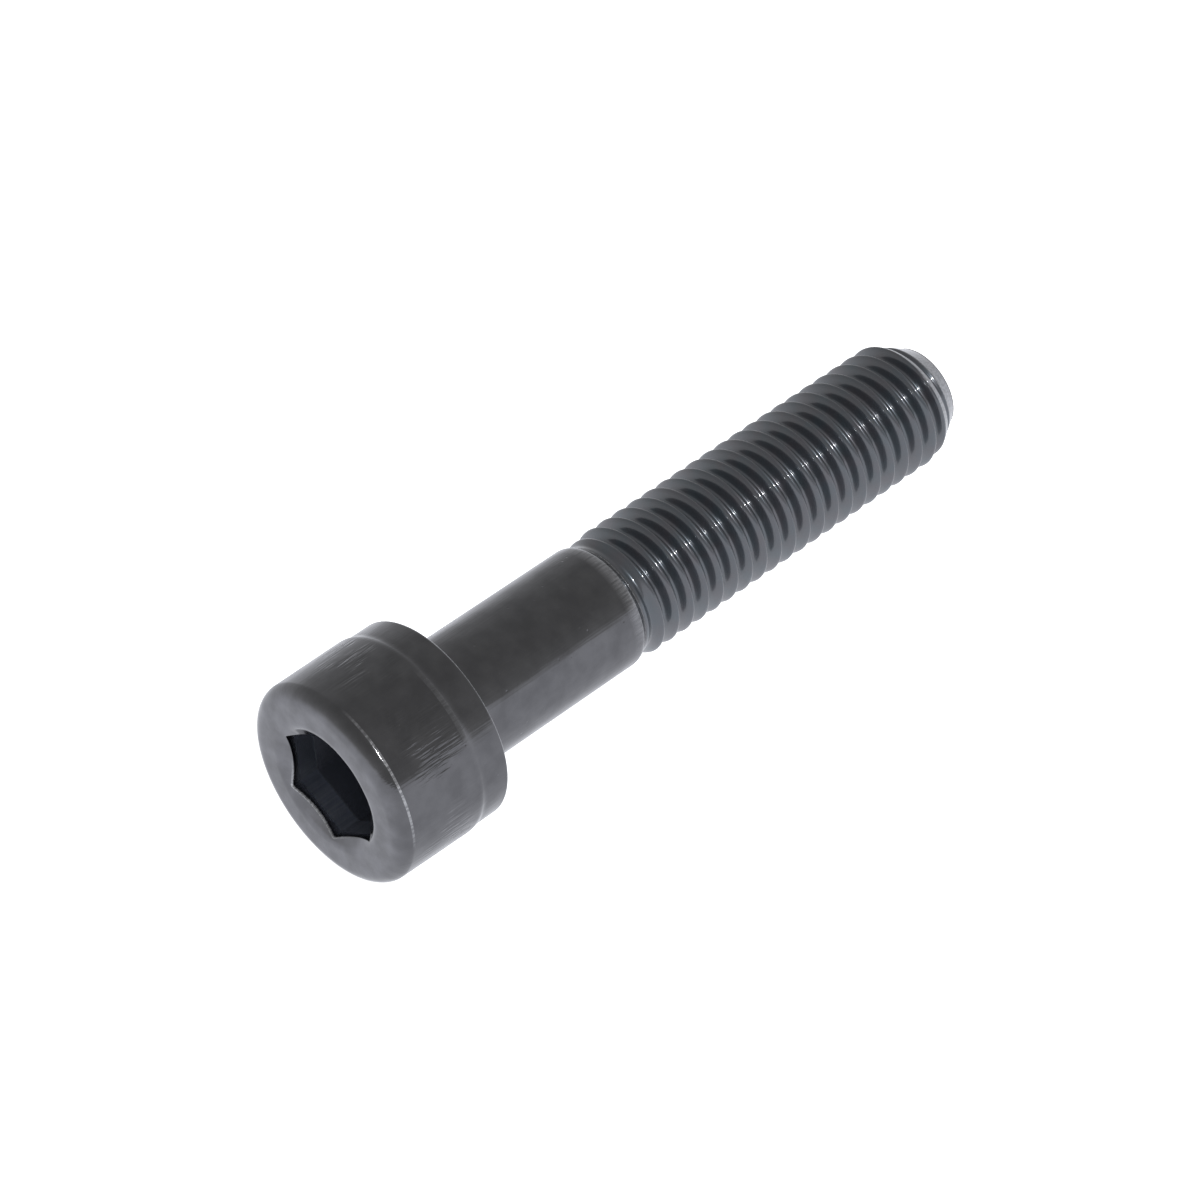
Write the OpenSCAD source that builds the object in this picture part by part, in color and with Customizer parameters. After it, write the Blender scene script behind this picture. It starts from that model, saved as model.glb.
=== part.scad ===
// Socket head cap screw, M10 x 50, forged in one piece, with a rolled thread.
// The screw is drawn upright on its own axis: the bearing face under the head
// is at height 0, the head is below it and the point is at height length.
// It is then laid down, so that the widest edge of the head and the last whole
// thread crest both touch the surface at z = 0.

/* [Head] */
// Greatest diameter of the head, where the two forging dies met
head_d = 16; // [14:0.25:18]
// Height of the head, from its top face to the bearing face
head_h = 10; // [8:0.25:12]
// Diameter at the top of the side, less than head_d by the draft of the die
draft_d = 15.88; // [13.8:0.02:15.96]
// Radius that rounds the edge of the top face
top_round = 1.35; // [0.8:0.05:1.6]
// Angle at the crease where that round meets the side, in degrees
crease_angle = 14; // [0:1:20]
// Diameter of the lower band of the head, formed in the other die
band_d = 15.7; // [13.6:0.05:15.85]
// Height of that band above the bearing face
band_h = 2.25; // [1.5:0.05:3]
// Height of the small slope from the head down to its band
band_slope = 0.45; // [0.2:0.05:0.8]
// Radius of the edge around the bearing face
bearing_round = 0.25; // [0.1:0.05:0.4]

/* [Socket] */
// Width of the hexagon across its flats
hex_af = 8.1; // [6:0.05:9]
// Depth of the hexagon below the top face
hex_depth = 5.6; // [5:0.1:6.5]
// Diameter of the conical mouth at the top face
mouth_d = 10; // [9.6:0.1:11.5]
// Angle between the walls of the mouth, in degrees
mouth_angle = 120; // [90:5:130]
// Angle between the walls of the cone at the bottom, in degrees
bottom_angle = 120; // [118:2:150]
// Turn of the hexagon, from a corner at the underside, in degrees
hex_turn = 52; // [0:1:59]

/* [Shank] */
// Length of the screw below the head
length = 50; // [44:0.2:60]
// Diameter of the plain shank
shank_d = 9.78; // [9.78:0.02:10]
// Radius of the fillet between the bearing face and the shank
neck_fillet = 0.5; // [0.4:0.05:0.8]
// Radius that rounds the end of the plain shank
shoulder_round = 1; // [0.6:0.1:1.4]
// Angle between the shoulder after that round and the axis, in degrees
shoulder_angle = 38; // [30:1:50]

/* [Thread] */
// Length from the point to where the thread fades out
thread_length = 33; // [30:0.2:36]
// Length over which it fades out
runout = 1.9; // [1:0.1:3]
// Thread pitch
pitch = 1.5; // [1.25:0.25:1.75]
// Diameter over the thread crests
crest_d = 9.88; // [9.74:0.02:9.96]
// Diameter at the bottom of the thread roots
root_d = 8.16; // [7.9:0.02:8.3]
// Diameter of the rolled blank, where the thread starts
blank_d = 8.94; // [8.8:0.02:9.1]
// Diameter of the flat end of the point
point_d = 6.8; // [6.4:0.1:7.9]
// Angle between the bevel of the point and the axis, in degrees
point_angle = 30; // [25:1:50]
// Turn of the thread about the axis, in degrees
thread_turn = 52; // [0:2:358]

/* [Hidden] */
$fn = 96;

// Flat steps in one turn of the thread.
turn_steps = 36;
// How far a cutter stands proud of the face that it opens.
overcut = 1;
// How deep the threaded end is rooted in the neck, and how far below its surface.
root_in = 0.4;
root_gap = 0.02;

head_r = head_d / 2;
draft_r = draft_d / 2;
band_r = band_d / 2;
shank_r = shank_d / 2;
crest_r = crest_d / 2;
root_r = root_d / 2;
blank_r = blank_d / 2;
point_r = point_d / 2;
mouth_r = mouth_d / 2;
hex_r = hex_af / 2 / cos(30);

// Top edge of the head: centre of the round and place of the crease.
round_x = draft_r - top_round * cos(crease_angle);
crease_drop = top_round * (1 - sin(crease_angle));
side_end = -band_h - band_slope;

// Shoulder: the round turns by shoulder_angle, and a slope goes on to the blank.
thread_start = length - thread_length;
round_drop = shoulder_round * (1 - cos(shoulder_angle));
slope_h = (shank_r - blank_r - round_drop) / tan(shoulder_angle);
neck_h = runout / 4;
shoulder_end = thread_start - neck_h;
slope_start = shoulder_end - slope_h;
shank_end = slope_start - shoulder_round * sin(shoulder_angle);

// Thread profile, from a crest to the next: how far along, and the radius.
crest_flat = pitch / 16;
root_flat = pitch / 8;
round_depth = (crest_r - root_r) * 0.05;
PROFILE = [
    [0, crest_r],
    [crest_flat, crest_r - round_depth],
    [pitch / 2 - root_flat, root_r + round_depth],
    [pitch / 2, root_r],
    [pitch / 2 + root_flat, root_r + round_depth],
    [pitch - crest_flat, crest_r - round_depth],
];
rows = len(PROFILE);

// Lying: the tilt that sets both the head and the last whole crest on z = 0.
bevel_h = (crest_r - point_r) / tan(point_angle);
first_crest = thread_start - pitch * thread_turn / 360;
whole_turns = floor((length - bevel_h - first_crest) / pitch);
last_crest = first_crest + pitch * whole_turns;
tilt = atan((head_r - crest_r) / (last_crest - side_end));
axis_z = head_r * cos(tilt) + side_end * sin(tilt);
reach_head = (head_h - top_round) * cos(tilt) + round_x * sin(tilt) + top_round;
reach_point = length * cos(tilt) + point_r * sin(tilt);

function clamp(x, low, high) = min(max(x, low), high);
function ease(x) = let (t = clamp(x, 0, 1)) t * t * (3 - 2 * t);

// Radius of the whole thread at a distance t past a crest, between two profile points.
function whole_radius(t, i = 0) =
    let (a = PROFILE[i], b = i + 1 < rows ? PROFILE[i + 1] : [pitch, crest_r])
        t <= b[0] || i + 1 == rows
            ? a[1] + (b[1] - a[1]) * (t - a[0]) / (b[0] - a[0])
            : whole_radius(t, i + 1);

// Radius of the threaded end at a height and an angle: it grows out of the blank
// over the run-out, and the bevel trims it at the point.
function thread_radius(h, angle) =
    let (past = h - first_crest - pitch * angle / 360,
         t = past - pitch * floor(past / pitch),
         base = blank_r - root_gap,
         grown = base + (whole_radius(t) - base) * ease((h - thread_start) / runout))
        min(grown, point_r + (length - h) * tan(point_angle));

// A point of the helical grid, kept between the two flat ends.
function grid_point(row, step) =
    let (angle = 360 * step / turn_steps,
         turn = floor(row / rows) - 3,
         along = first_crest + pitch * (turn + angle / 360) + PROFILE[row % rows][0],
         h = clamp(along, thread_start - root_in, length),
         r = thread_radius(h, angle))
        [r * cos(angle), r * sin(angle), h];

// Half of the head and shank in section, with true arcs for the rounds.
module outline() {
    difference() {
        union() {
            polygon([
                [0, -head_h],
                [round_x, -head_h],
                [draft_r, crease_drop - head_h],
                [head_r, side_end],
                [band_r, -band_h],
                [band_r, -bearing_round],
                [band_r - bearing_round, 0],
                [shank_r, 0],
                [shank_r, shank_end],
                [shank_r - round_drop, slope_start],
                [blank_r, shoulder_end],
                [blank_r, thread_start],
                [0, thread_start],
            ]);
            arc_piece([round_x, top_round - head_h], top_round, [round_x, -head_h], crease_drop);
            arc_piece([band_r - bearing_round, -bearing_round], bearing_round,
                [band_r - bearing_round, -bearing_round], bearing_round);
            arc_piece([shank_r - shoulder_round, shank_end], shoulder_round,
                [shank_r - shoulder_round, shank_end], slope_start - shank_end);
            translate([shank_r, 0]) square(neck_fillet);
        }
        translate([shank_r + neck_fillet, neck_fillet]) circle(neck_fillet);
    }
}

// The part of a disc to the right of a corner, over a given height.
module arc_piece(centre, r, corner, height) {
    intersection() {
        translate(centre) circle(r);
        translate(corner) square([r, height]);
    }
}

// The hexagonal socket with its conical mouth and bottom, as a cutter.
module socket() {
    mouth_h = mouth_r / tan(mouth_angle / 2);
    bottom_h = hex_af / 2 / tan(bottom_angle / 2);
    flare = (mouth_h + overcut) / mouth_h;
    translate([0, 0, -head_h]) {
        translate([0, 0, -overcut])
            rotate([0, 0, hex_turn]) cylinder(h = hex_depth + overcut, r = hex_r, $fn = 6);
        translate([0, 0, -overcut])
            cylinder(h = mouth_h + overcut, r1 = mouth_r * flare, r2 = 0);
        translate([0, 0, hex_depth])
            cylinder(h = bottom_h, r1 = hex_af / 2, r2 = 0);
    }
}

// The threaded end: a grid wound along the helix, closed by two flat faces.
module thread() {
    turns = ceil((length - first_crest) / pitch) + 4;
    last_row = turns * rows;
    points = [for (row = [0:last_row + rows], step = [0:turn_steps - 1]) grid_point(row, step)];
    function at(row, step) = step < turn_steps
        ? row * turn_steps + step
        : (row + rows) * turn_steps + step - turn_steps;
    sides = [for (row = [0:last_row - 1], step = [0:turn_steps - 1])
        let (a = at(row, step), b = at(row, step + 1), c = at(row + 1, step + 1), d = at(row + 1, step))
            each [[a, d, c], [a, c, b]]];
    whole = [for (f = sides)
        if (points[f[0]] != points[f[1]] && points[f[1]] != points[f[2]] && points[f[2]] != points[f[0]]) f];
    start = [for (step = [0:turn_steps - 1]) at(0, step)];
    end = [for (step = [turn_steps - 1:-1:0]) at(last_row, step)];
    polyhedron(points = points, faces = concat(whole, [start], [end]), convexity = 10);
}

// The whole screw, lying with its head toward -X.
module cap_screw() {
    color([0.25, 0.26, 0.27])
        translate([(reach_head - reach_point) / 2, 0, axis_z])
            rotate([0, 90 + tilt, 0]) {
                difference() {
                    rotate_extrude() outline();
                    socket();
                }
                thread();
            }
}

cap_screw();
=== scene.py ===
from math import atan, cos, floor, radians, sin, tan

import bpy
import numpy as np
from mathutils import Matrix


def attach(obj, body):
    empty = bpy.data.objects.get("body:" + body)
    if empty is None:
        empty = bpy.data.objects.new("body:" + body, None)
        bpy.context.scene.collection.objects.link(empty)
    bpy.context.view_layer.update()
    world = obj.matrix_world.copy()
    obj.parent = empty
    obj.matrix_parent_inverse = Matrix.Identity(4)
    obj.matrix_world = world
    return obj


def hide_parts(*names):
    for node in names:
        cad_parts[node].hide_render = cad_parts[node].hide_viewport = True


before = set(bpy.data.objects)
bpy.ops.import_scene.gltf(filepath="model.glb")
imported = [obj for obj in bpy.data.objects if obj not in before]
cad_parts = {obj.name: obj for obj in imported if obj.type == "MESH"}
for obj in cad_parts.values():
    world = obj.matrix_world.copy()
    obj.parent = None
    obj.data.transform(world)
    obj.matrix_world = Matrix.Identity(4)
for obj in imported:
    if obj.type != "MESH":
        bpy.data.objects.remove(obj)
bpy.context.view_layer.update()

print("frame loaded:", sorted(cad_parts))

mm = 0.001                    # one millimetre, in metres

# sizes in mm and angles in degrees; heights run along the axis from the bearing face under the head,
# which is at 0, down to the top of the head and up to the point

head = {
    "radius": 8.0,
    "height": 10.0,
    "draftRadius": 7.94,      # radius where the side meets the rounded top edge
    "topRound": 1.35,
    "topRows": 12,            # rows of points along that round
    "creaseAngle": 14.0,
    "creaseGap": 6.0,         # those rows stop this much short of the crease
    "creaseSoft": 0.12,       # how far an edge is worn back along its two faces
    "faceHold": 0.3,          # a row this far inside the round keeps the face flat
    "bandRadius": 7.85,
    "bandHeight": 2.25,
    "bandSlope": 0.45,
    "stepSoft": 0.24,
    "bearingRound": 0.25,
    "bearingRows": 6,
    "bandHold": 0.02,         # a row this far before the bearing edge keeps the band straight
}

socket = {
    "acrossFlats": 8.1,
    "depth": 5.6,
    "mouthRadius": 5.0,
    "mouthAngle": 120.0,
    "bottomAngle": 120.0,
    "turn": 52.0,             # angle of one corner, from straight down
    "cornerRadius": 4.64,     # the broach leaves the corners a little blunt
    "cornerSoft": 0.07,
    "drillInset": 0.1,        # the drilled hole is this much smaller than the hexagon
    "floorSoft": 0.08,
    "wallDepth": 1.1,         # from this depth on the wall has its own finish
    "paintedShadeDepth": 2.4,          # from this depth on the socket is painted darker, painted shade deep in the recess
    "paintedShadeFade": 0.25,
    "edgeSoft": 0.11,
    "rimSoft": 0.3,
}

shank = {
    "length": 50.0,           # from the bearing face to the point
    "radius": 4.89,
    "neckFillet": 0.5,
    "filletRows": 8,
    "shoulderRound": 1.0,
    "shoulderAngle": 38.0,
    "shoulderRows": 8,
    "wearLead": 0.6,          # the shoulder's worn edge, partly painted highlight, sets in this far before it
    "blankRadius": 4.47,
    "neckStart": 16.525,
    "neckSoft": 0.2,
}

thread = {
    "start": 17.0,
    "fadeStart": 16.62,       # height where the first turn begins to rise from the blank
    "fadeLength": 1.3,
    "pitch": 1.5,
    "crest": 4.94,
    "root": 4.08,
    "sharp": 5.15,            # radius where the two flanks would meet
    "flank": 30.0,            # angle of a flank from the radius
    "crestSoft": 0.28,
    "rootSoft": 0.22,
    "turn": 52.0,
    "pointRadius": 3.4,
    "pointAngle": 30.0,
    "pointSoft": 0.08,
    "pointWear": 0.34,
    "pointFade": 0.12,        # depth of the trim over which that wear sets in
    # rows of the small round at the end face: out from its radius and back from its height
    "endRound": ((0.06, 0.06), (0.035, 0.04), (-0.01, 0.015), (-0.06, 0), (-0.12, 0)),
    "endMiddle": 0.6,         # share of the radius where one more row lies on the end face
    # rows in each turn, as shares of the pitch from one crest to the next
    "shares": (0, 0.03, 0.06, 0.09, 0.12, 0.18, 0.25, 0.32, 0.38, 0.42, 0.46,
               0.5, 0.54, 0.58, 0.62, 0.68, 0.75, 0.82, 0.88, 0.91, 0.94, 0.97),
    "spareTurns": (2, 5),     # turns of rows before the first crest and past the last
}

# a number for each finish along the screw; what lies between two of them blends
zoneAt = {
    "deep": 0,
    "wall": 0.5,
    "face": 1,
    "side": 2,
    "shank": 3,
    "neck": 3.2,
    "runout": 3.4,
    "thread": 4,
}

# worn edges, lighter partly from real wear and partly as painted highlight, kept to the stretch where light
# catches them: how strong each is at most, and the angles from straight down where that begins and ends
wornAndHighlitEdges = {
    "wall": (0.4, -60, 70),
    "hexagon": (1.0, -30, 80),
    "crease": (0.8, 185, 270),
    "step": (0.15, 185, 235),
    "bearing": (0.6, 110, 280),
    "shoulder": (0.42, 70, 290),
    "neck": (0.55, 70, 290),
}

# radius where the round of the top edge begins, and height where the side of the head is widest
roundX = head["draftRadius"] - head["topRound"] * cos(radians(head["creaseAngle"]))
sideEnd = -head["bandHeight"] - head["bandSlope"]


# the axis dips so that the widest edge of the head and the last whole crest both touch z = 0: the
# tangent of the dip is the difference of their radii over the distance between them
def lyingPlace():
    bevel = (thread["crest"] - thread["pointRadius"]) / tan(radians(thread["pointAngle"]))
    firstCrest = thread["start"] - thread["pitch"] * thread["turn"] / 360
    turns = floor((shank["length"] - bevel - firstCrest) / thread["pitch"])
    lastCrest = firstCrest + thread["pitch"] * turns
    dip = atan((head["radius"] - thread["crest"]) / (lastCrest - sideEnd))
    axisZ = head["radius"] * cos(dip) + sideEnd * sin(dip)
    reachHead = (head["height"] - head["topRound"]) * cos(dip) + roundX * sin(dip) + head["topRound"]
    reachPoint = shank["length"] * cos(dip) + thread["pointRadius"] * sin(dip)
    return dip, (reachHead - reachPoint) / 2, axisZ, firstCrest


dip, originX, axisZ, firstCrest = lyingPlace()


# radius, angle from straight down and height to a place in metres: the point is turned round the
# axis, and the axis then dips toward +X and moves to where the screw lies
def lay(r, angle, h):
    down = r * np.cos(np.radians(angle))
    x = originX - down * sin(dip) + h * cos(dip)
    y = r * np.sin(np.radians(angle))
    z = axisZ - down * cos(dip) - h * sin(dip)
    return np.stack([x, y, z], axis=-1) * mm


# angles of the columns: 24 in each sixth of a turn, closer together next to a corner of the hexagon
def columnAngles():
    fromCorner = np.array([0.7, 1.5, 2.75, 5, 7.75, 11, 14.25, 17.5, 20.6, 23.75, 26.9])
    sixth = np.concatenate([-fromCorner[::-1], [0], fromCorner, [30]])
    allSixths = socket["turn"] + 60 * np.arange(6)[:, None] + sixth[None, :]
    return np.sort(allSixths.ravel() % 360)


angles = columnAngles()


# the smaller of two values, rounded off over a span k where they are near each other: a share w
# runs from one value to the other, and k w (1 - w) is taken off
def softMin(a, b, k):
    w = np.clip(0.5 + 0.5 * (b - a) / k, 0, 1)
    return b + (a - b) * w - k * w * (1 - w)


# hexagon seen along the axis: apothem over the cosine of the angle from the middle of the flat, and
# at most the radius of a blunt corner
def hexRadius(angle):
    apothem = socket["acrossFlats"] / 2
    flat = np.mod(angle - socket["turn"], 60) - 30
    return softMin(apothem / np.cos(np.radians(flat)), socket["cornerRadius"], socket["cornerSoft"])


# a corner cut back along both sides, a and b, and bridged by the curve a (1 - t)^2 + b t^2; one
# more row beyond each end keeps the faces flat beside it
def softCorner(before, corner, after, cut):
    mostCut, hold = 0.4, 1.2  # most of a side that a cut takes, and place of the extra row, in cuts
    cuts = []
    for neighbour in (before, after):
        way = neighbour - corner
        length = np.linalg.norm(way, axis=-1, keepdims=True)
        cuts.append(way / np.maximum(length, 1e-9) * np.minimum(cut, mostCut * length))
    a, b = cuts
    curve = [corner + a * (1 - t) ** 2 + b * t * t for t in (0, 0.25, 0.5, 0.75, 1)]
    return [corner + a * hold] + curve + [corner + b * hold]


# part of a circle: centre plus radius times cosine and sine, from one angle to another
def arcRows(centre, radius, start, end, count):
    turn = np.radians(np.linspace(start, end, count))
    return [np.array([centre[0] + radius * np.cos(t), centre[1] + radius * np.sin(t)]) for t in turn]


# wear round an edge, partly real and partly painted highlight: one hump of a sine between two angles, widened
# by a power below 1
def worn(edge):
    amount, start, end = wornAndHighlitEdges[edge]
    widen = 0.7
    share = np.clip(np.mod(angles - start, 360) / (end - start), 0, 1)
    return amount * np.sin(np.pi * share) ** widen


# head and shank, a profile turned round the axis: rows from the middle of the socket out, round the head and
# along the shank to the neck. A row is a radius and a height in every column, and beside it stand its zone
# and how worn it is in every column, partly as painted highlight
def profileRows():
    top = -head["height"]
    hexagon = hexRadius(angles)
    drill = socket["acrossFlats"] / 2 - socket["drillInset"]
    floorH = top + socket["depth"]
    coneH = floorH + drill / tan(radians(socket["bottomAngle"] / 2))
    paintedShadeH = top + socket["paintedShadeDepth"]
    hexEdgeH = top + (socket["mouthRadius"] - hexagon) / tan(radians(socket["mouthAngle"] / 2))
    creaseH = top + head["topRound"] * (1 - sin(radians(head["creaseAngle"])))
    bandX, bearing = head["bandRadius"], head["bearingRound"]
    shankX, fillet, shoulder = shank["radius"], shank["neckFillet"], shank["shoulderRound"]
    blankX = shank["blankRadius"]
    beta = radians(shank["shoulderAngle"])
    slopeStart = shank["neckStart"] - (shankX - blankX - shoulder * (1 - cos(beta))) / tan(beta)
    shankEnd = slopeStart - shoulder * sin(beta)

    topArc = arcRows((roundX, top + head["topRound"]), head["topRound"],
                     -90, -head["creaseAngle"] - head["creaseGap"], head["topRows"])
    bearingArc = arcRows((bandX - bearing, -bearing), bearing, 0, 90, head["bearingRows"])
    filletArc = arcRows((shankX + fillet, fillet), fillet, 270, 180, shank["filletRows"])
    shoulderArc = arcRows((shankX - shoulder, shankEnd), shoulder,
                          0, shank["shoulderAngle"], shank["shoulderRows"])

    # corners of the path: place, how far it is cut back (0 keeps the point), zone, and how worn it is, partly
    # as painted highlight
    deep, wall, face, side, bar = (zoneAt[name] for name in ("deep", "wall", "face", "side", "shank"))
    fresh = np.zeros(len(angles))
    path = [
        ((0, coneH), 0, deep, fresh),
        ((drill, floorH), socket["floorSoft"], deep, fresh),
        ((hexagon, floorH), socket["floorSoft"], deep, fresh),
        # painted shade: below this depth the socket wall takes the dark deep colour
        ((hexagon, paintedShadeH + socket["paintedShadeFade"]), 0, deep, fresh),
        ((hexagon, paintedShadeH), 0, wall, worn("wall")),
        ((hexagon, top + socket["wallDepth"]), 0, wall, worn("wall")),
        ((hexagon, hexEdgeH), socket["edgeSoft"], face, worn("hexagon")),
        ((socket["mouthRadius"], top), socket["rimSoft"], face, fresh),
        ((roundX - head["faceHold"], top), 0, face, fresh),
    ]
    for k, point in enumerate(topArc):
        path.append((point, 0, face + (side - face) * k / (len(topArc) - 1), fresh))
    path += [
        ((head["draftRadius"], creaseH), head["creaseSoft"], side, worn("crease")),
        ((head["radius"], sideEnd), head["stepSoft"], side, worn("step")),
        ((bandX, -head["bandHeight"]), head["stepSoft"], side, fresh),
        ((bandX, -bearing - head["bandHold"]), 0, side, fresh),
    ]
    # the first two rows and the last of the bearing edge stay fresh
    for k, point in enumerate(bearingArc):
        path.append((point, 0, side, worn("bearing") if 1 < k < len(bearingArc) - 1 else fresh))
    path += [(point, 0, bar, fresh) for point in filletArc]
    path.append(((shankX, shankEnd - shank["wearLead"]), 0, bar, fresh))
    path += [(point, 0, bar, worn("shoulder")) for point in shoulderArc]
    path += [
        ((blankX, shank["neckStart"]), shank["neckSoft"], zoneAt["neck"], worn("neck")),
        ((blankX, thread["fadeStart"]), 0, zoneAt["runout"], fresh),
    ]

    corners = [np.stack(np.broadcast_arrays(*point, angles)[:2], axis=-1) for point, *_ in path]
    rows, zones, wearAndHighlight = [], [], []
    for k, (_, cut, zone, edge) in enumerate(path):
        if cut:
            new = softCorner(corners[k - 1], corners[k], corners[k + 1], cut)
            wearAndHighlight += [fresh] + [edge] * (len(new) - 2) + [fresh]
        else:
            new = [corners[k]]
            wearAndHighlight.append(edge)
        rows += new
        zones += [zone] * len(new)
    return np.array(rows), np.array(zones, float), np.array(wearAndHighlight, float)


# whole thread: two straight flanks that fall away from the nearest crest, rounded at crest and root
def wholeThread(past):
    t = np.abs(np.mod(past + thread["pitch"] / 2, thread["pitch"]) - thread["pitch"] / 2)
    flank = thread["sharp"] - t / tan(radians(thread["flank"]))
    crested = softMin(flank, thread["crest"], thread["crestSoft"])
    return -softMin(-crested, -thread["root"], thread["rootSoft"])


# threaded end: the blank grows into the whole thread over the run-out, eased by t^2 (3 - 2t), and
# the bevel trims it at the point; beside it, how far it is trimmed, from 0 to 1
def threadRadius(h, angle):
    past = h - firstCrest - thread["pitch"] * angle / 360
    t = np.clip((h - thread["fadeStart"]) / thread["fadeLength"], 0, 1)
    rise = t * t * (3 - 2 * t)
    grown = shank["blankRadius"] + (wholeThread(past) - shank["blankRadius"]) * rise
    bevel = thread["pointRadius"] + (shank["length"] - h) * tan(radians(thread["pointAngle"]))
    trimmed = np.clip((grown - bevel) / thread["pointFade"], 0, 1)
    return softMin(grown, bevel, thread["pointSoft"]), trimmed


# rows wound along the helix: height is the crest's height at that angle plus a share of the pitch,
# kept between the neck and the end face, so rows beyond them fall together and are merged
def threadRows():
    shares = np.array(thread["shares"])
    before, past = thread["spareTurns"]
    turns = int((shank["length"] - firstCrest) / thread["pitch"]) + past
    along = (np.arange(-before, turns)[:, None] + shares[None, :]).ravel()
    h = firstCrest + thread["pitch"] * (along[:, None] + angles[None, :] / 360)
    h = np.clip(h, thread["fadeStart"], shank["length"] - thread["endRound"][0][1])
    r, trimmed = threadRadius(h, angles[None, :])
    return np.stack([r, h], axis=-1), thread["pointWear"] * trimmed, len(shares)


# end face: the bevel turns into the flat through a small round, and closes on one point
def endRows():
    radius, height = thread["pointRadius"], shank["length"]
    path = [(radius + out, height - back) for out, back in thread["endRound"]]
    path += [(radius * thread["endMiddle"], height), (0, height)]
    return np.repeat(np.array(path)[:, None, :], len(angles), axis=1)


# four-sided faces between each row and the next, as point numbers counted from the first one; past
# the last column a helix goes on wrapRows further up, and a turned profile, with 0, closes on itself
def gridFaces(first, rowCount, wrapRows):
    n = len(angles)
    row, col = np.meshgrid(np.arange(rowCount - 1 - wrapRows), np.arange(n), indexing="ij")
    nextRow = np.where(col == n - 1, row + wrapRows, row)
    nextCol = (col + 1) % n
    a = first + row * n + col
    b = first + nextRow * n + nextCol
    return np.stack([a, b, b + n, a + n], axis=-1).reshape(-1, 4)


# one closed mesh: profile, thread and end face, joined where their rows meet
def makeScrew():
    profile, zones, wearAndHighlight = profileRows()
    wound, trimmed, perTurn = threadRows()
    end = endRows()
    n = len(angles)
    grid = np.concatenate([profile, wound, end])
    zones = np.concatenate([zones, np.full(len(wound) + len(end), zoneAt["thread"])])
    wearAndHighlight = np.concatenate([wearAndHighlight, trimmed, np.full((len(end), n), thread["pointWear"])])
    everyAngle = np.broadcast_to(angles, grid.shape[:2])
    points = lay(grid[..., 0], everyAngle, grid[..., 1]).reshape(-1, 3)
    quads = np.concatenate([
        gridFaces(0, len(profile), 0),
        gridFaces(len(profile) * n, len(wound), perTurn),
        gridFaces((len(profile) + len(wound)) * n, len(end), 0),
    ])

    # rows that fall together become one: points are matched to a hundredth of a micron
    perMetre = 1e8
    keys = np.round(points * perMetre).astype(np.int64)
    first, index = np.unique(keys, axis=0, return_index=True, return_inverse=True)[1:]
    quads = index.ravel()[quads]
    triangles = np.concatenate([quads[:, [0, 1, 2]], quads[:, [0, 2, 3]]])
    a, b, c = triangles.T
    triangles = triangles[(a != b) & (b != c) & (c != a)]

    mesh = bpy.data.meshes.new("socketScrew")
    mesh.from_pydata(points[first].tolist(), [], triangles.tolist())
    mesh.validate()
    mesh.shade_smooth()
    for name, values in (("zone", np.repeat(zones, n)), ("wearAndHighlight", wearAndHighlight.ravel())):
        layer = mesh.attributes.new(name, "FLOAT", "POINT")
        layer.data.foreach_set("value", values[first].astype(np.float32))
    screw = bpy.data.objects.new("socket_screw", mesh)
    bpy.context.scene.collection.objects.link(screw)
    print("screw:", len(mesh.vertices), "points,", len(mesh.polygons), "faces")
    return screw


screw = makeScrew()

oxide = {
    "dark": "#676769",        # where the oxide is thickest
    "light": "#717173",
    "face": "#717173",        # the face is pressed smooth and shows the lightest oxide
    "faceLight": "#808083",
    "thread": "#40484f",      # the rolled thread is wet with oil, so it looks bluer and blacker
    "threadTint": "#46464c",
    "wall": "#8a919e",        # wall of the socket
    "deep": "#565962",        # below it, painted shade: the socket's colour is made darker deep down
    "worn": "#b4b5b8",        # edges where handling has thinned it, and painted highlight where light catches them
    "roughness": 0.11,
    "roughnessSpread": (-0.03, 0.04),
    "roughnessWall": 0.28,
    "roughnessDeep": 0.4,
    "roughnessThread": 0.31,
    # how much of each place still mirrors; the rest is matt oxide
    "metalWall": 0.9,
    "metalDeep": 0.5,
    "metalThread": 0.66,
    "metalWorn": 0.5,
    # film of oil that stays in the thread
    "oil": 1.0,
    "oilRoughness": 0.08,
    "oilIor": 1.8,            # more than the 1.5 of plain oil, so that the glints stay bright
    # patterns: mm along the axis, mm across it, octaves
    "film": (1.6, 1.6, 3.0),      # patches in the oxide
    "wave": (4.0, 2.2, 1.0),      # faint hollows that forging leaves
    "lines": (5.0, 0.17, 2.0),    # drawing lines along the bar, coarser than real ones so that they show
    "scuffs": (2.3, 0.25, 2.0),   # scores from the die near the foot of the head
    "patches": (2.4, 1.8, 1.0),   # where the scores and pits gather
    "grain": (0.3, 0.3, 3.0),     # mottling that pickling leaves
    "pit": 0.9,                   # mm, mean distance between pits
    # depths of the reliefs, mm
    "waveDepth": 0.07,
    "linesDepth": 0.009,
    "scuffsDepth": 0.085,
    "pitsDepth": 0.02,
    "grainDepth": 0.004,
    "threadRelief": 0.15,     # share of the waves and grain that rolling leaves in the thread
    "wornAndHighlitLeast": 0.35,        # share of the worn edges' lightness, real and painted highlight, that is left between the drawing lines
}

# value of each pattern where its mask is off and where it is on
patternRange = {
    "film": (0.35, 0.65),
    "patches": (0.42, 0.58),
    "lines": (0.35, 0.6),
    "grain": (0.3, 0.7),
    "pits": (0.02, 0.12),
}

# the same for the zone number
zoneRange = {
    "wall": (0.95, 0.6),
    "deep": (0.4, 0.1),
    "pastFace": (1.1, 1.9),
    "beforeShank": (3.4, 3.0),
    "thread": (3.2, 3.8),
}

# and for the height in mm, which marks the foot of the head
heightRange = {
    "pastCrease": (-8.6, -6.8),
    "beforeStep": (-2.8, -3.4),
}


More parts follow.
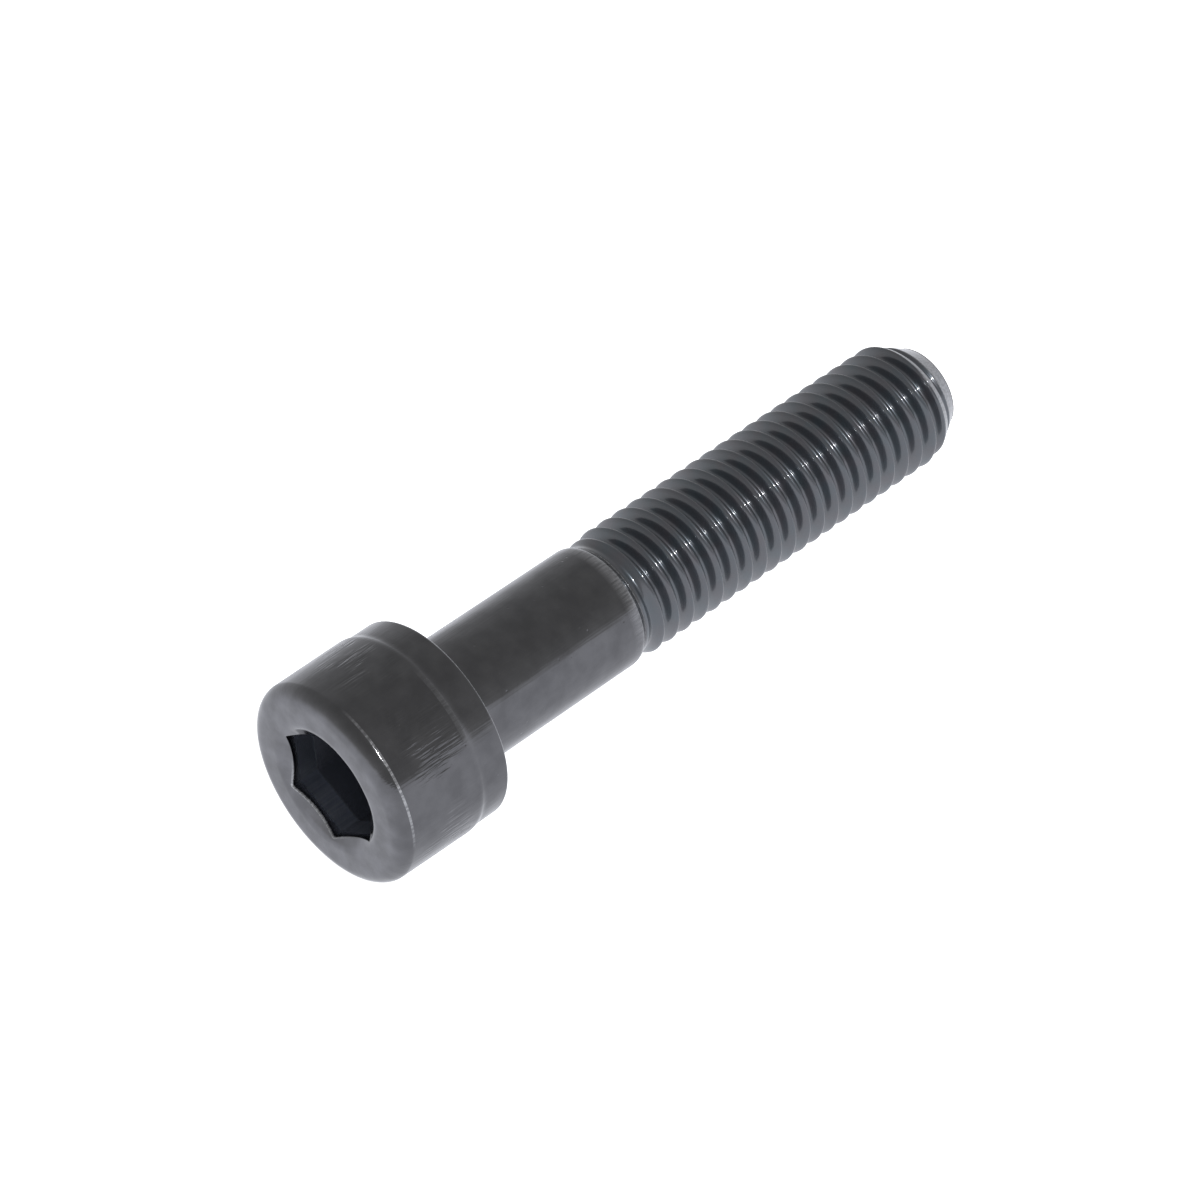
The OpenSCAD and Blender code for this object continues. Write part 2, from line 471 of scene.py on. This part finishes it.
# sRGB as a hex string to linear: a straight foot, and a power of 2.4 above it
def linear(hexColour):
    part = [int(hexColour[k:k + 2], 16) / 255 for k in (1, 3, 5)]
    return [c / 12.92 if c <= 0.04045 else ((c + 0.055) / 1.055) ** 2.4 for c in part] + [1.0]


# adds a node; a setting named like an input, or numbered, sets that input, and the rest set the node
# itself; a link comes from a socket, or from the first output of a node
def addNode(tree, kind, settings, links=()):
    node = tree.nodes.new(kind)
    for name, value in settings.items():
        if isinstance(name, int) or name in node.inputs.keys():
            node.inputs[name].default_value = value
        else:
            setattr(node, name, value)
    for name, source in dict(links).items():
        output = source if isinstance(source, bpy.types.NodeSocket) else source.outputs[0]
        tree.links.new(output, node.inputs[name])
    return node


# black oxide steel: forged, then blackened in hot salts and oiled, so it mirrors its surroundings darkly;
# fine lines run along the axis, scores from the die break up the reflections near the foot of the head, pits
# and patches mottle it here and there, worn edges show as lighter lines that are partly painted highlight,
# the socket is painted darker deep down as painted shade, and oil left in the thread gives one small glint on
# every crest
def blackOxideSteel():
    material = bpy.data.materials.new("blackOxideSteel")
    material.use_nodes = True
    tree = material.node_tree
    tree.nodes.clear()
    place = addNode(tree, "ShaderNodeTexCoord", {}).outputs["Object"]
    zone = addNode(tree, "ShaderNodeAttribute", {"attribute_name": "zone"}).outputs["Fac"]
    wearAndHighlight = addNode(tree, "ShaderNodeAttribute", {"attribute_name": "wearAndHighlight"}).outputs["Fac"]

    # each pattern counts its own millimetres along the screw's axis and across it
    sizes = {name: oxide[name] for name in ("film", "wave", "lines", "scuffs", "patches", "grain")}
    grids = {}
    for name, (along, across, _) in (sizes | {"pit": (oxide["pit"],) * 3, "axis": (1.0,) * 3}).items():
        grids[name] = addNode(tree, "ShaderNodeMapping", {
            "vector_type": "TEXTURE",
            "Location": (originX * mm, 0, axisZ * mm),
            "Rotation": (0, dip, 0),
            "Scale": (along * mm, across * mm, across * mm),
        }, {"Vector": place})
    noise = {name: addNode(tree, "ShaderNodeTexNoise", {"Scale": 1.0, "Detail": size[2]},
                           {"Vector": grids[name]}) for name, size in sizes.items()}
    cells = addNode(tree, "ShaderNodeTexVoronoi", {"Scale": 1.0}, {"Vector": grids["pit"]})
    height = addNode(tree, "ShaderNodeSeparateXYZ", {}, {"Vector": grids["axis"]})

    # masks, each from 0 to 1
    sources = {name: (noise | {"pits": cells})[name] for name in patternRange}
    sources |= {name: zone for name in zoneRange} | {name: height for name in heightRange}
    mask = {}
    for name, (off, on) in (patternRange | zoneRange | heightRange).items():
        mask[name] = addNode(tree, "ShaderNodeMapRange", {"From Min": off, "From Max": on},
                             {"Value": sources[name]})
    for name, a, b in (("side", "pastFace", "beforeShank"), ("foot", "pastCrease", "beforeStep"),
                       ("scored", "foot", "patches"), ("pitted", "side", "patches")):
        mask[name] = addNode(tree, "ShaderNodeMath", {"operation": "MULTIPLY"}, {0: mask[a], 1: mask[b]})
    # the drawing lines break up the worn edges and their painted highlight, and the thread has little of the
    # forged relief
    broken = addNode(tree, "ShaderNodeMapRange", {"To Min": oxide["wornAndHighlitLeast"]}, {"Value": mask["lines"]})
    mask["worn"] = addNode(tree, "ShaderNodeMath", {"operation": "MULTIPLY"}, {0: wearAndHighlight, 1: broken})
    mask["forged"] = addNode(tree, "ShaderNodeMapRange", {"To Min": 1.0, "To Max": oxide["threadRelief"]},
                             {"Value": mask["thread"]})

    # reliefs, each laid over the one before
    normal = None
    for name, source, where in (("wave", noise["wave"], "forged"), ("lines", noise["lines"], "side"),
                                ("scuffs", noise["scuffs"], "scored"), ("pits", mask["pits"], "pitted"),
                                ("grain", noise["grain"], "forged")):
        links = {"Height": source, "Strength": mask[where]}
        if normal:
            links["Normal"] = normal
        normal = addNode(tree, "ShaderNodeBump", {"Distance": oxide[name + "Depth"] * mm}, links)

    # colours: patches of two tones on the face, the forged skin and the thread, laid over each other in that
    # order, and then the plain tones of the socket, darker deep down as painted shade, and of the worn edges,
    # partly painted highlight
    tones = {}
    for name, first, second in (("face", "face", "faceLight"), ("pastFace", "dark", "light"),
                                ("thread", "thread", "threadTint")):
        tones[name] = addNode(tree, "ShaderNodeMix", {
            "data_type": "RGBA", 6: linear(oxide[first]), 7: linear(oxide[second]),
        }, {0: mask["film"]}).outputs[2]
    colour = tones["face"]
    for name in ("pastFace", "thread"):
        colour = addNode(tree, "ShaderNodeMix", {"data_type": "RGBA"},
                         {0: mask[name], 6: colour, 7: tones[name]}).outputs[2]
    for name in ("wall", "deep", "worn"):
        colour = addNode(tree, "ShaderNodeMix", {"data_type": "RGBA", 7: linear(oxide[name])},
                         {0: mask[name], 6: colour}).outputs[2]

    # roughness and metal: the value of the forged skin, blended to that of each place
    least, most = oxide["roughnessSpread"]
    roughness = addNode(tree, "ShaderNodeMapRange", {
        "To Min": oxide["roughness"] + least, "To Max": oxide["roughness"] + most,
    }, {"Value": mask["grain"]}).outputs[0]
    for name in ("Wall", "Deep", "Thread"):
        roughness = addNode(tree, "ShaderNodeMix", {3: oxide["roughness" + name]},
                            {0: mask[name.lower()], 2: roughness}).outputs[0]
    metal = addNode(tree, "ShaderNodeMapRange", {"To Min": 1.0, "To Max": oxide["metalWall"]},
                    {"Value": mask["wall"]}).outputs[0]
    for name in ("Deep", "Thread", "Worn"):
        metal = addNode(tree, "ShaderNodeMix", {3: oxide["metal" + name]},
                        {0: mask[name.lower()], 2: metal}).outputs[0]
    oil = addNode(tree, "ShaderNodeMath", {"operation": "MULTIPLY", 1: oxide["oil"]}, {0: mask["thread"]})
    shader = addNode(tree, "ShaderNodeBsdfPrincipled", {
        "Coat Roughness": oxide["oilRoughness"], "Coat IOR": oxide["oilIor"],
    }, {
        "Base Color": colour, "Roughness": roughness, "Metallic": metal, "Normal": normal, "Coat Weight": oil,
    })
    addNode(tree, "ShaderNodeOutputMaterial", {}, {"Surface": shader})
    return material


screw.data.materials.append(blackOxideSteel())
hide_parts("cap_screw")
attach(screw, "root")
print("steel applied")

studio = {
    "floorSize": 3.0,         # metres
    "floorGlow": 0.95,
    "floorColour": "#f4f5f6",
    "floorRoughness": 0.9,
    "whiteSide": (-0.342, -0.94, 0.0),   # level direction in which the white paper rises highest
    "rise": 0.39,             # how steeply it rises that way and sinks the other way
    "edgeNear": 0.03,         # softness of the paper's edge on that side and on the far side
    "edgeFar": 0.48,
    "room": 0.31,             # radiance of the dim room overhead, against 1 for the paper
    "roomLow": 0.30,          # what the room gains toward the horizon
    "roomColour": "#fffefb",
    "paperColour": "#f6f8ff",
    "lamp": 6.4,              # watts
    "lampSize": 0.04,
    "lampDistance": 1.0,
    "lampWay": (0.0, -0.53, 0.85),
}

view = {
    "lens": 132.0925,
    "sensor": 36.0,
    "nearest": 0.01,          # metres to the nearest thing that it sees
    "place": (-0.1467929, -0.1484632, 0.2460071),
    "turn": (40.83659, 0.0, -43.96698),
}


# white paper under the screw: it glows so that it stays evenly white, and the screw mirrors the
# white lower half of the room instead of it
def makeFloor():
    half = studio["floorSize"] / 2
    mesh = bpy.data.meshes.new("floor")
    mesh.from_pydata([(-half, -half, 0), (half, -half, 0), (half, half, 0), (-half, half, 0)],
                     [], [(0, 1, 2, 3)])
    paper = bpy.data.objects.new("floor", mesh)
    bpy.context.scene.collection.objects.link(paper)
    material = bpy.data.materials.new("whitePaper")
    material.use_nodes = True
    shader = material.node_tree.nodes["Principled BSDF"]
    shader.inputs["Base Color"].default_value = linear(studio["floorColour"])
    shader.inputs["Roughness"].default_value = studio["floorRoughness"]
    shader.inputs["Specular IOR Level"].default_value = 0.0
    shader.inputs["Emission Color"].default_value = (1, 1, 1, 1)
    shader.inputs["Emission Strength"].default_value = studio["floorGlow"]
    mesh.materials.append(material)
    paper.visible_glossy = False


# room: a sheet of white paper that curves up on the camera's side and ends in a sharp edge there,
# fades out on the other side, and a dim room above it. The edge is where the height of a direction
# equals the rise times its share of the white side
def makeRoom():
    world = bpy.data.worlds.new("room")
    world.use_nodes = True
    tree = world.node_tree
    tree.nodes.clear()
    place = addNode(tree, "ShaderNodeTexCoord", {}).outputs["Generated"]
    height = addNode(tree, "ShaderNodeSeparateXYZ", {}, {"Vector": place}).outputs["Z"]
    nearness = addNode(tree, "ShaderNodeVectorMath", {"operation": "DOT_PRODUCT", 1: studio["whiteSide"]},
                       {0: place}).outputs["Value"]
    above = addNode(tree, "ShaderNodeMath", {"operation": "MULTIPLY_ADD", 1: -studio["rise"]},
                    {0: nearness, 2: height})
    edge = addNode(tree, "ShaderNodeMapRange", {
        "From Min": -1.0, "From Max": 1.0, "To Min": studio["edgeFar"], "To Max": studio["edgeNear"],
    }, {"Value": nearness})
    below = addNode(tree, "ShaderNodeMath", {"operation": "MULTIPLY", 1: -1.0}, {0: edge})
    # the room is lightest at the horizon and falls off toward overhead, as (1 - height) squared
    low = addNode(tree, "ShaderNodeMath", {"operation": "SUBTRACT", 0: 1.0}, {1: height})
    lowSquare = addNode(tree, "ShaderNodeMath", {"operation": "MULTIPLY"}, {0: low, 1: low})
    room = addNode(tree, "ShaderNodeMath", {
        "operation": "MULTIPLY_ADD", 1: studio["roomLow"], 2: studio["room"]}, {0: lowSquare})
    ramp = addNode(tree, "ShaderNodeMapRange", {"interpolation_type": "SMOOTHSTEP", "To Min": 1.0}, {
        "Value": above, "From Min": below, "From Max": edge, "To Max": room})
    tint = addNode(tree, "ShaderNodeMix", {
        "data_type": "RGBA", 6: linear(studio["roomColour"]), 7: linear(studio["paperColour"])}, {0: ramp})
    glow = addNode(tree, "ShaderNodeBackground", {}, {"Strength": ramp, "Color": tint.outputs[2]})
    addNode(tree, "ShaderNodeOutputWorld", {}, {"Surface": glow})
    bpy.context.scene.world = world


# one small round lamp high above the near side, the only hard light; it points at the origin
def makeLamp():
    light = bpy.data.lights.new("lamp", "AREA")
    light.shape = "DISK"
    light.size = studio["lampSize"]
    light.energy = studio["lamp"]
    lamp = bpy.data.objects.new("lamp", light)
    way = np.array(studio["lampWay"])
    way = way / np.linalg.norm(way)
    lamp.location = way * studio["lampDistance"]
    lamp.rotation_euler = (radians(90) - np.arcsin(way[2]), 0, np.arctan2(way[0], -way[1]))
    bpy.context.scene.collection.objects.link(lamp)


def makeCamera():
    data = bpy.data.cameras.new("camera")
    data.sensor_width = view["sensor"]
    data.lens = view["lens"]
    data.clip_start = view["nearest"]
    camera = bpy.data.objects.new("camera", data)
    camera.location = view["place"]
    camera.rotation_euler = [radians(angle) for angle in view["turn"]]
    bpy.context.scene.collection.objects.link(camera)
    bpy.context.scene.camera = camera


makeFloor()
makeRoom()
makeLamp()
makeCamera()
bpy.context.scene.view_settings.view_transform = "Standard"
print("studio ready")
